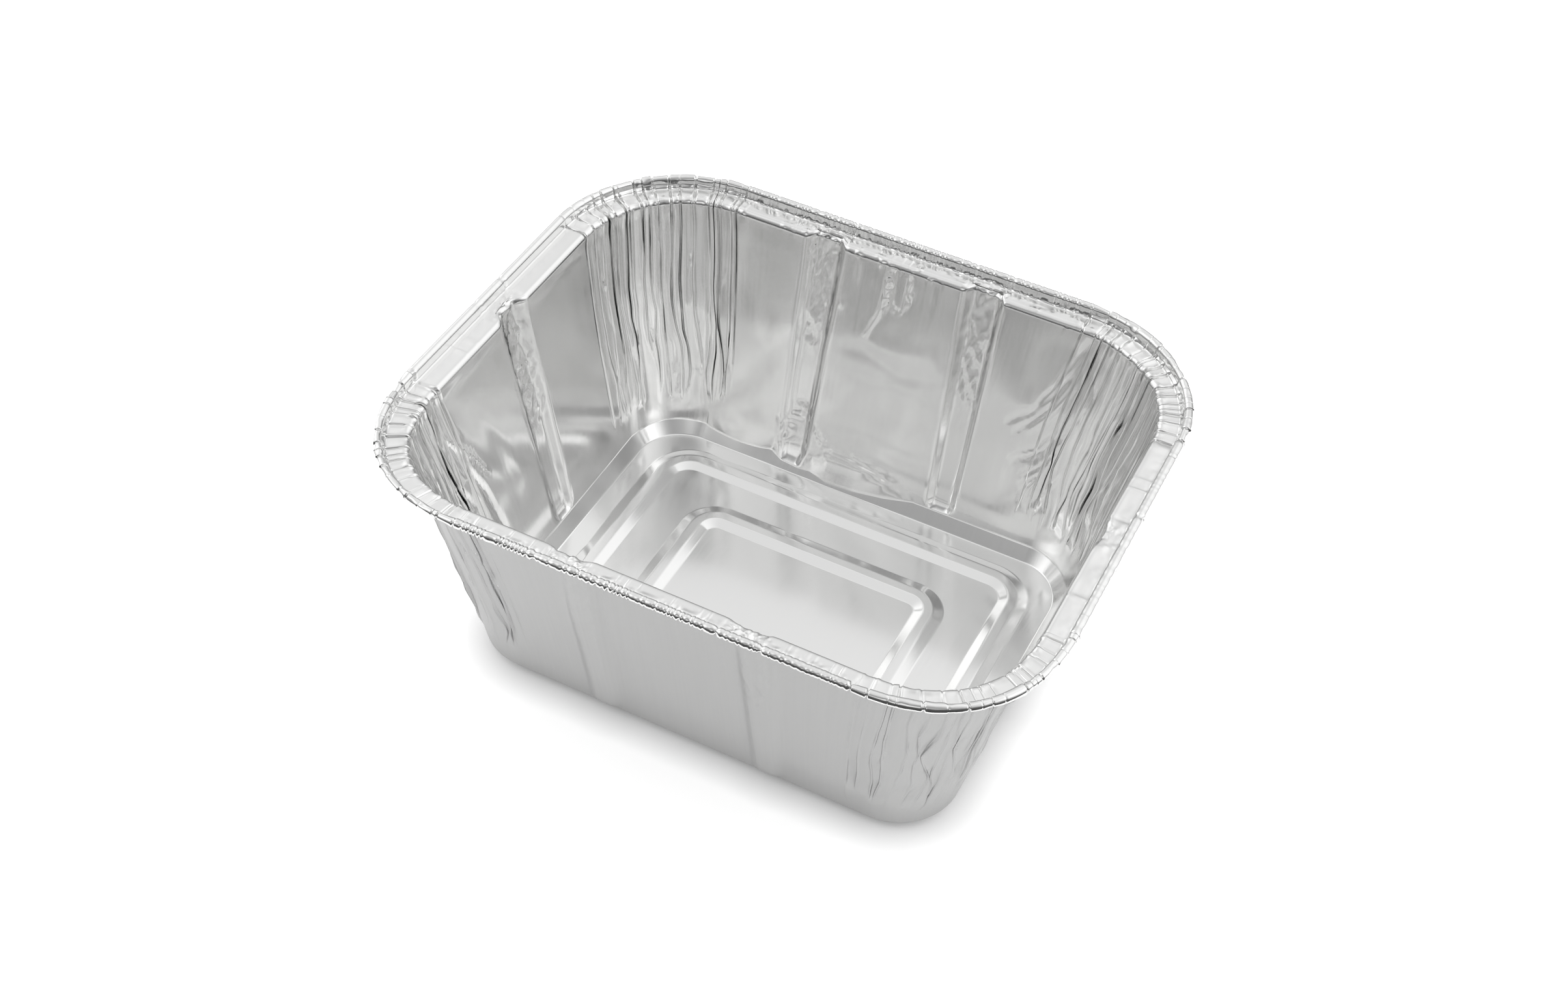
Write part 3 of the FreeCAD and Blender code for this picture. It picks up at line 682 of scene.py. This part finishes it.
# the left wall: a kinked facet beside the front corner, whose first folds are deep and dark
for path, wide, depth in (
        ([(-33.0, 60.0), (-32.6, 51.0), (-29.5, 46.5), (-25.0, 40.0), (-21.0, 32.0)], 0.7, -0.30),
        ([(-31.0, 57.0), (-29.0, 50.0), (-27.0, 45.0)], 1.3, 0.24),
        ([(-31.5, 48.0), (-28.5, 40.0), (-24.0, 29.0), (-20.5, 14.0)], 1.5, 0.50),
        ([(-33.4, 61.0), (-34.1, 54.0), (-34.3, 46.0), (-33.6, 37.0), (-32.2, 30.0)], 0.8, 0.85),
        ([(-35.6, 60.0), (-36.0, 50.0), (-35.4, 40.0), (-33.6, 32.0)], 0.8, -0.45),
        ([(-39.6, 61.0), (-39.2, 56.0), (-38.0, 48.0), (-37.6, 43.0)], 0.8, 0.75),
        ([(-42.8, 60.0), (-42.0, 50.0), (-40.5, 42.0)], 0.8, -0.40),
        ([(-46.0, 61.0), (-45.2, 52.0), (-43.6, 44.0)], 0.8, 0.55),
        ([(-31.8, 36.0), (-30.2, 32.5), (-29.0, 28.0)], 1.0, 0.40),
        ([(-33.6, 34.0), (-32.2, 29.0), (-31.4, 25.0)], 1.0, -0.35)):
    crease(LEFT, path, wide, depth)

# the front wall, seen from outside: one sharp crease near its left end
crease(FRONT, [(-47.5, 48.0), (-44.0, 41.0), (-41.2, 34.0), (-40.2, 27.0)], 0.6, 0.34)
crease(FRONT, [(-48.5, 47.0), (-42.6, 34.0), (-41.6, 26.0)], 0.9, -0.16)

# short pinches between the folds
for side, low, high in (
        (BACK, 44.0, 84.0), (BACK, -84.0, -44.0), (FRONT, 44.0, 84.0), (FRONT, -84.0, -44.0)):
    for _ in range(PINCHES):
        along, z, length = rng.uniform(low, high), rng.uniform(14.0, 50.0), rng.uniform(1.2, 3.6)
        slope = rng.uniform(-0.5, 0.5)
        aside = slope * length
        path = [(along - aside, z - length), (along + rng.uniform(-0.3, 0.3), z), (along + aside, z + length)]
        crease(side, path, rng.uniform(0.45, 0.7), rng.uniform(0.15, 0.36) * rng.choice([-1.0, 1.0]))

# ---- crimps along the straight rims, and rumpled flanges
grip = along_rows(
    [FLANGE_END - 6, FLANGE_END - 3, FLANGE_END + 1, CURL_START + 4, CURL_START + 8, CURL_START + 13],
    [0.0, 0.35, 1.0, 0.9, 1.0, 1.6])
on_shelf = along_rows([WALL_END - 3, WALL_END + 2, FLANGE_END - 3, FLANGE_END + 1], [0.0, 1.0, 1.0, 0.0])
outer_shelf = along_rows([WALL_END + 2, WALL_END + 6, FLANGE_END - 2, FLANGE_END + 2], [0.0, 1.0, 1.0, 0.2])
blobs = wrapped_noise(1.7, 1.5) + 0.6 * wrapped_noise(0.9, 1.1)
swell = wrapped_noise(4.5, 6.0)
for quarter in (RIGHT, BACK, LEFT, FRONT):
    on = np.flatnonzero((col_quarter == quarter) & col_side)
    k, f = col_cell[on], col_share[on]
    count = k.max() + 1
    size, rumple = CRIMP_DEPTHS[quarter], RUMPLE_DEPTHS[quarter]
    # the front rim has a row of beads, which fade out to the right
    beaded = quarter == FRONT
    rarity, lean, swollen = (0.8, 0.35, 0.25) if beaded else (1.2, 0.7, 0.55)
    knots = np.arange(0, count + 8, 8)
    patches = np.interp(np.arange(count), knots, rng.uniform(0.35, 1.0, len(knots)))
    if beaded:
        patches = patches * np.linspace(1.0, 0.3, count)
    depth = size * patches * rng.uniform(0.0, 1.0, count) ** rarity
    tilt = lean * size * patches * rng.uniform(-1.0, 1.0, count)
    at_crimp = np.where(f == 0.0, 1.0, 0.0)
    push[:, on] += grip * (at_crimp * depth[k] + tilt[k] * (f - 0.4) + size * swollen)
    barred = rng.uniform(0.0, 1.0, count) < BAR_SHARE
    bar = np.where(barred, rng.uniform(0.6, 1.0, count), 0.0) * (0.10 + 0.7 * rumple)
    push[:, on] += on_shelf * (rumple * swell[:, on] - at_crimp * bar[k])
    push[:, on] += outer_shelf * 0.35 * size * blobs[:, on]
    # where a flute ends, its edges run on across the flange, which is crumpled between them, and cut the curl
    s = off_middle(quarter)[WALL_END, on]
    edges = flute_keys(quarter % 2 == 1, WALL_END).reshape(-1, 4)
    cut = sum(np.interp(np.abs(s - edge), [0.0, 0.5], [1.0, 0.0]) for edge in edges[:, [0, 3]].ravel())
    between_edges = 0.0
    for mouth in edges:
        half = mouth[3] - mouth.mean()
        between_edges = between_edges + np.interp(np.abs(s - mouth.mean()), [half, half + 1.0], [1.0, 0.0])
    push[:, on] += grip * RIM_NOTCH * cut
    push[:, on] += on_shelf * (FLANGE_NOTCH * cut + FLANGE_CRUMPLE * between_edges * blobs[:, on])
corner_rim = np.where(on_rim, 1.0, 0.0)[:, None] * np.where(col_side, 0.0, 1.0)[None, :]
push += corner_rim * np.clip(0.10 * wrapped_noise(1.2, 1.3) + 0.14 * wrapped_noise(2.6, 2.0), 0.0, None)

x = base_x + out_x * (row_nr[:, None] * push + level_out)
y = base_y + out_y * (row_nr[:, None] * push + level_out)
z = row_z[:, None] + row_nz[:, None] * push + lift
inside = np.stack([x, y, z], axis=-1)

# ---------------------------------------------------------------- the foil's other side, and the meshes


def away(points):
    """Unit normals of the grid, away from the drippings."""
    along = np.roll(points, -1, axis=1) - np.roll(points, 1, axis=1)
    up = np.gradient(points, axis=0)
    normal = np.cross(along, up)
    size = np.linalg.norm(normal, axis=-1, keepdims=True)
    normal = np.where(size > 1e-9, normal / np.maximum(size, 1e-9), [0.0, 0.0, -1.0])
    return normal


normals = away(inside)
normals[0] = (0.0, 0.0, -1.0)
outside = inside + FOIL * normals

# Where a point sits in the foil's fine lines, which run along Y on the floor and down the walls
FLAT_STRETCH, WALL_STRETCH = 0.012, 0.02
flat_lines = np.stack([base_x, FLAT_STRETCH * base_y, np.zeros_like(base_x)], axis=-1)
turned = np.broadcast_to(around[None, :] / PERIMETER * 2 * math.pi, base_x.shape)
down = np.broadcast_to(WALL_STRETCH * row_run[:, None], base_x.shape)
wall_lines = np.stack([np.cos(turned) * PERIMETER / (2 * math.pi), np.sin(turned) * PERIMETER / (2 * math.pi),
                       down], axis=-1)

MERGE_GRID = 1e5               # steps to the millimetre, on which points that coincide become one


def foil_piece(name, first, last, raw_edge, lines):
    """Both sides of the foil between two rows, as one mesh."""
    count = last - first + 1
    inner, outer, outward, grain = (
        part[first:last + 1].reshape(-1, 3) for part in (inside, outside, normals, lines))
    points = np.concatenate([inner, outer])
    point_normals = np.concatenate([-outward, outward])
    grain = np.concatenate([grain, grain])
    ids = np.arange(count * COLUMNS).reshape(count, COLUMNS)
    nxt = np.roll(ids, -1, axis=1)
    under = np.stack([ids[:-1], nxt[:-1], nxt[1:], ids[1:]], axis=-1).reshape(-1, 4)
    offset = count * COLUMNS
    faces = [under[:, ::-1], under + offset]
    if raw_edge:
        edge = np.stack([ids[-1], ids[-1] + offset, nxt[-1] + offset, nxt[-1]], axis=-1)
        faces.append(edge)
    faces = np.concatenate(faces)
    # points that coincide become one
    places = np.round(points * MERGE_GRID).astype(np.int64)
    _, index, merged = np.unique(places, axis=0, return_index=True, return_inverse=True)
    points, point_normals, grain = points[index], point_normals[index], grain[index]
    faces = merged.reshape(-1)[faces]
    bright = (count - 1) * COLUMNS
    clean, side = [], []
    for number, face in enumerate(faces.tolist()):
        ring = [v for v, w in zip(face, face[-1:] + face[:-1]) if v != w]
        if len(set(ring)) == len(ring) and len(ring) >= 3:
            clean.append(ring)
            side.append(0 if number < bright else 1)
    mesh = bpy.data.meshes.new(name)
    mesh.from_pydata((points * MM).tolist(), [], clean)
    mesh.polygons.foreach_set("use_smooth", [True] * len(mesh.polygons))
    mesh.polygons.foreach_set("material_index", side)
    attribute = mesh.attributes.new("grain", "FLOAT_VECTOR", "POINT")
    attribute.data.foreach_set("vector", grain.astype(np.float32).ravel())
    mesh.normals_split_custom_set_from_vertices(point_normals.tolist())
    piece = bpy.data.objects.new(name, mesh)
    bpy.context.scene.collection.objects.link(piece)
    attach(piece, "root")
    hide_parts("foil_tray")
    return piece


half_way = (FLOOR_END + WALL_END) // 2
half_floor = FLOOR_END // 2
pieces = [
    foil_piece("foil_floor_middle", 0, half_floor, False, flat_lines),
    foil_piece("foil_floor", half_floor, FLOOR_END, False, flat_lines),
    foil_piece("foil_wall_lower", FLOOR_END, half_way, False, wall_lines),
    foil_piece("foil_wall_upper", half_way, WALL_END, False, wall_lines),
    foil_piece("foil_flange", WALL_END, FLANGE_END, False, wall_lines),
    foil_piece("foil_curl", FLANGE_END, ROWS - 1, True, wall_lines),
]

# ---------------------------------------------------------------- material
WARMTH = 0.995                 # of blue, beside red and green
LINE_SCALE = 1.6               # noise cells to the millimetre
LINE_DETAIL = 3.0
LINE_STRENGTH = 0.25
LINE_HEIGHT = 0.00002          # metres


def foil_material(name, shade, roughest, smoothest):
    """Aluminium whose roughness and height follow the fine lines."""
    material = bpy.data.materials.new(name)
    material.use_nodes = True
    nodes, links = material.node_tree.nodes, material.node_tree.links
    shader = nodes["Principled BSDF"]
    shader.inputs["Base Color"].default_value = (shade, shade, shade * WARMTH, 1.0)
    shader.inputs["Metallic"].default_value = 1.0
    grain = nodes.new("ShaderNodeAttribute")
    grain.attribute_name = "grain"
    lines = nodes.new("ShaderNodeTexNoise")
    lines.inputs["Scale"].default_value = LINE_SCALE
    lines.inputs["Detail"].default_value = LINE_DETAIL
    links.new(grain.outputs["Vector"], lines.inputs["Vector"])
    rough = nodes.new("ShaderNodeMapRange")
    rough.inputs["To Min"].default_value = smoothest
    rough.inputs["To Max"].default_value = roughest
    links.new(lines.outputs["Fac"], rough.inputs["Value"])
    links.new(rough.outputs["Result"], shader.inputs["Roughness"])
    bump = nodes.new("ShaderNodeBump")
    bump.inputs["Strength"].default_value = LINE_STRENGTH
    bump.inputs["Distance"].default_value = LINE_HEIGHT
    links.new(lines.outputs["Fac"], bump.inputs["Height"])
    links.new(bump.outputs["Normal"], shader.inputs["Normal"])
    return material


bright_side = foil_material("foil_bright_side", shade=0.84, roughest=0.19, smoothest=0.10)
matt_side = foil_material("foil_matt_side", shade=0.50, roughest=0.44, smoothest=0.34)
for piece in pieces:
    piece.data.materials.append(bright_side)
    piece.data.materials.append(matt_side)

# ---------------------------------------------------------------- floor, lights and camera
scene = bpy.context.scene
scene.view_settings.view_transform = "Standard"

# metres
SHEET_HALF = 3.0               # of the sheets that the tray stands on, across and away from the camera
SWEEP_FRONT = 0.13             # from the tray's middle to the white sweep's edge, towards the camera
OVERLAP = 0.01                 # of the table beyond it, under the sweep
SWEEP_DROP = 0.0001
TABLE_DROP = 0.0006
CONTACT_SHADOW = 0.0076        # from the foil
# shares of white
SWEEP_SHADE = 0.75
SWEEP_GLOW = 0.65
TABLE_SHADE = 0.05
AZIMUTH = math.radians(24.252)  # the camera's, from the tray's front towards its right


def ground(name, near, far, drop):
    """A level sheet across the camera's azimuth, from near to far as seen from the tray's middle."""
    towards = Vector((math.sin(AZIMUTH), -math.cos(AZIMUTH), 0.0))
    across = Vector((math.cos(AZIMUTH), math.sin(AZIMUTH), 0.0))
    corners = [towards * a + across * b for a, b in (
        (near, SHEET_HALF), (near, -SHEET_HALF), (far, -SHEET_HALF), (far, SHEET_HALF))]
    mesh = bpy.data.meshes.new(name)
    mesh.from_pydata(corners, [], [(0, 1, 2, 3)])
    sheet = bpy.data.objects.new(name, mesh)
    scene.collection.objects.link(sheet)
    sheet.location.z = -drop
    return sheet


def white_sweep():
    """The white sheet under and behind the tray, with its contact shadow."""
    sheet = ground("floor", SWEEP_FRONT, -SHEET_HALF, SWEEP_DROP)
    material = bpy.data.materials.new("white_sweep")
    material.use_nodes = True
    nodes, links = material.node_tree.nodes, material.node_tree.links
    shader = nodes["Principled BSDF"]
    shader.inputs["Base Color"].default_value = (SWEEP_SHADE, SWEEP_SHADE, SWEEP_SHADE, 1.0)
    shader.inputs["Roughness"].default_value = 0.9
    shader.inputs["Specular IOR Level"].default_value = 0.0
    # the camera, and the foil's own reflections, see it whiter, so that only the shadow shows on it
    white = nodes.new("ShaderNodeEmission")
    path = nodes.new("ShaderNodeLightPath")
    seen = path.outputs["Is Camera Ray"]
    for ray in ("Is Glossy Ray", "Is Transmission Ray"):
        either = nodes.new("ShaderNodeMath")
        either.operation = "MAXIMUM"
        links.new(seen, either.inputs[0])
        links.new(path.outputs[ray], either.inputs[1])
        seen = either.outputs["Value"]
    # close under the foil less of that white is left, so that the tray stands in its shadow
    near = nodes.new("ShaderNodeAmbientOcclusion")
    near.samples = 8
    near.inputs["Distance"].default_value = CONTACT_SHADOW
    left = nodes.new("ShaderNodeMath")
    left.operation = "MULTIPLY"
    left.inputs[1].default_value = SWEEP_GLOW
    links.new(near.outputs["AO"], left.inputs[0])
    share = nodes.new("ShaderNodeMath")
    share.operation = "MULTIPLY"
    links.new(seen, share.inputs[0])
    links.new(left.outputs["Value"], share.inputs[1])
    links.new(share.outputs["Value"], white.inputs["Strength"])
    both = nodes.new("ShaderNodeAddShader")
    links.new(shader.outputs["BSDF"], both.inputs[0])
    links.new(white.outputs["Emission"], both.inputs[1])
    links.new(both.outputs["Shader"], nodes["Material Output"].inputs["Surface"])
    sheet.data.materials.append(material)


def dark_table():
    """The table in front of the sweep, which the lower front wall reflects."""
    sheet = ground("table", SHEET_HALF, SWEEP_FRONT - OVERLAP, TABLE_DROP)
    material = bpy.data.materials.new("dark_table")
    material.use_nodes = True
    shader = material.node_tree.nodes["Principled BSDF"]
    shader.inputs["Base Color"].default_value = (TABLE_SHADE, TABLE_SHADE, TABLE_SHADE, 1.0)
    shader.inputs["Roughness"].default_value = 0.8
    sheet.data.materials.append(material)


white_sweep()
dark_table()

world = bpy.data.worlds.new("studio")
scene.world = world
world.use_nodes = True
wn, wl = world.node_tree.nodes, world.node_tree.links


def maths(operation, first, second):
    """The result of a maths node in the world, from numbers or other nodes' results."""
    node = wn.new("ShaderNodeMath")
    node.operation = operation
    for slot, value in zip(node.inputs, (first, second)):
        if isinstance(value, (int, float)):
            slot.default_value = value
        else:
            wl.new(value, slot)
    return node.outputs["Value"]


# Large soft lamps all round, as (azimuth, elevation, tightness, strength).
# Azimuth 0 is the tray's front and 90 its right.
EVEN_LIGHT = 0.06
LAMPS = (
    (0.0, 90.0, 8.0, 0.30), (60.0, 60.0, 9.0, 0.20), (120.0, 60.0, 9.0, 0.35), (180.0, 60.0, 9.0, 0.55),
    (300.0, 60.0, 9.0, 0.50), (90.0, 35.0, 13.0, 1.05), (120.0, 35.0, 13.0, 0.35), (150.0, 35.0, 13.0, 0.45),
    (180.0, 35.0, 13.0, 0.35), (210.0, 35.0, 13.0, 0.10), (240.0, 35.0, 13.0, 0.95), (300.0, 35.0, 13.0, 1.25),
    (105.0, 12.0, 16.0, 0.45), (135.0, 12.0, 16.0, 0.55), (195.0, 12.0, 16.0, 0.30), (225.0, 12.0, 16.0, 0.35),
    (255.0, 12.0, 16.0, 0.75), (8.0, 28.0, 45.0, 0.95), (30.0, 31.0, 30.0, 0.35), (352.0, 25.0, 60.0, 0.35),
)
sky = wn.new("ShaderNodeTexCoord").outputs["Generated"]
light = EVEN_LIGHT
for azimuth, elevation, tightness, strength in LAMPS:
    a, e = math.radians(azimuth), math.radians(elevation)
    towards = wn.new("ShaderNodeVectorMath")
    towards.operation = "DOT_PRODUCT"
    wl.new(sky, towards.inputs[0])
    towards.inputs[1].default_value = (math.sin(a) * math.cos(e), -math.cos(a) * math.cos(e), math.sin(e))
    fall = maths("MULTIPLY", maths("SUBTRACT", towards.outputs["Value"], 1.0), tightness)
    light = maths("ADD", light, maths("MULTIPLY", maths("EXPONENT", fall, 0.0), strength))
background = wn["Background"]
wl.new(light, background.inputs["Color"])
background.inputs["Strength"].default_value = 1.0

# The camera looks down at the tray from the right of its front
ELEVATION = math.radians(44.841)
ROLL = math.radians(3.631)
DISTANCE = 0.46305             # metres
ASIDE = -0.000513
ALOFT = 0.005643
AIM = Vector((0.0, 0.0, 0.0304))
SENSOR = 36.0                  # millimetres
FOCAL_LENGTH = 48.401043
back = Vector((math.sin(AZIMUTH) * math.cos(ELEVATION), -math.cos(AZIMUTH) * math.cos(ELEVATION),
               math.sin(ELEVATION)))
right = Vector((0, 0, 1)).cross(back).normalized()
over = back.cross(right)
right, over = right * math.cos(ROLL) + over * math.sin(ROLL), over * math.cos(ROLL) - right * math.sin(ROLL)
camera = bpy.data.objects.new("camera", bpy.data.cameras.new("camera"))
scene.collection.objects.link(camera)
camera.data.sensor_width = SENSOR
camera.data.lens = FOCAL_LENGTH
camera.data.clip_start = 0.01
camera.location = AIM + back * DISTANCE + right * ASIDE + over * ALOFT
camera.rotation_euler = Matrix((right, over, back)).transposed().to_euler()
scene.camera = camera
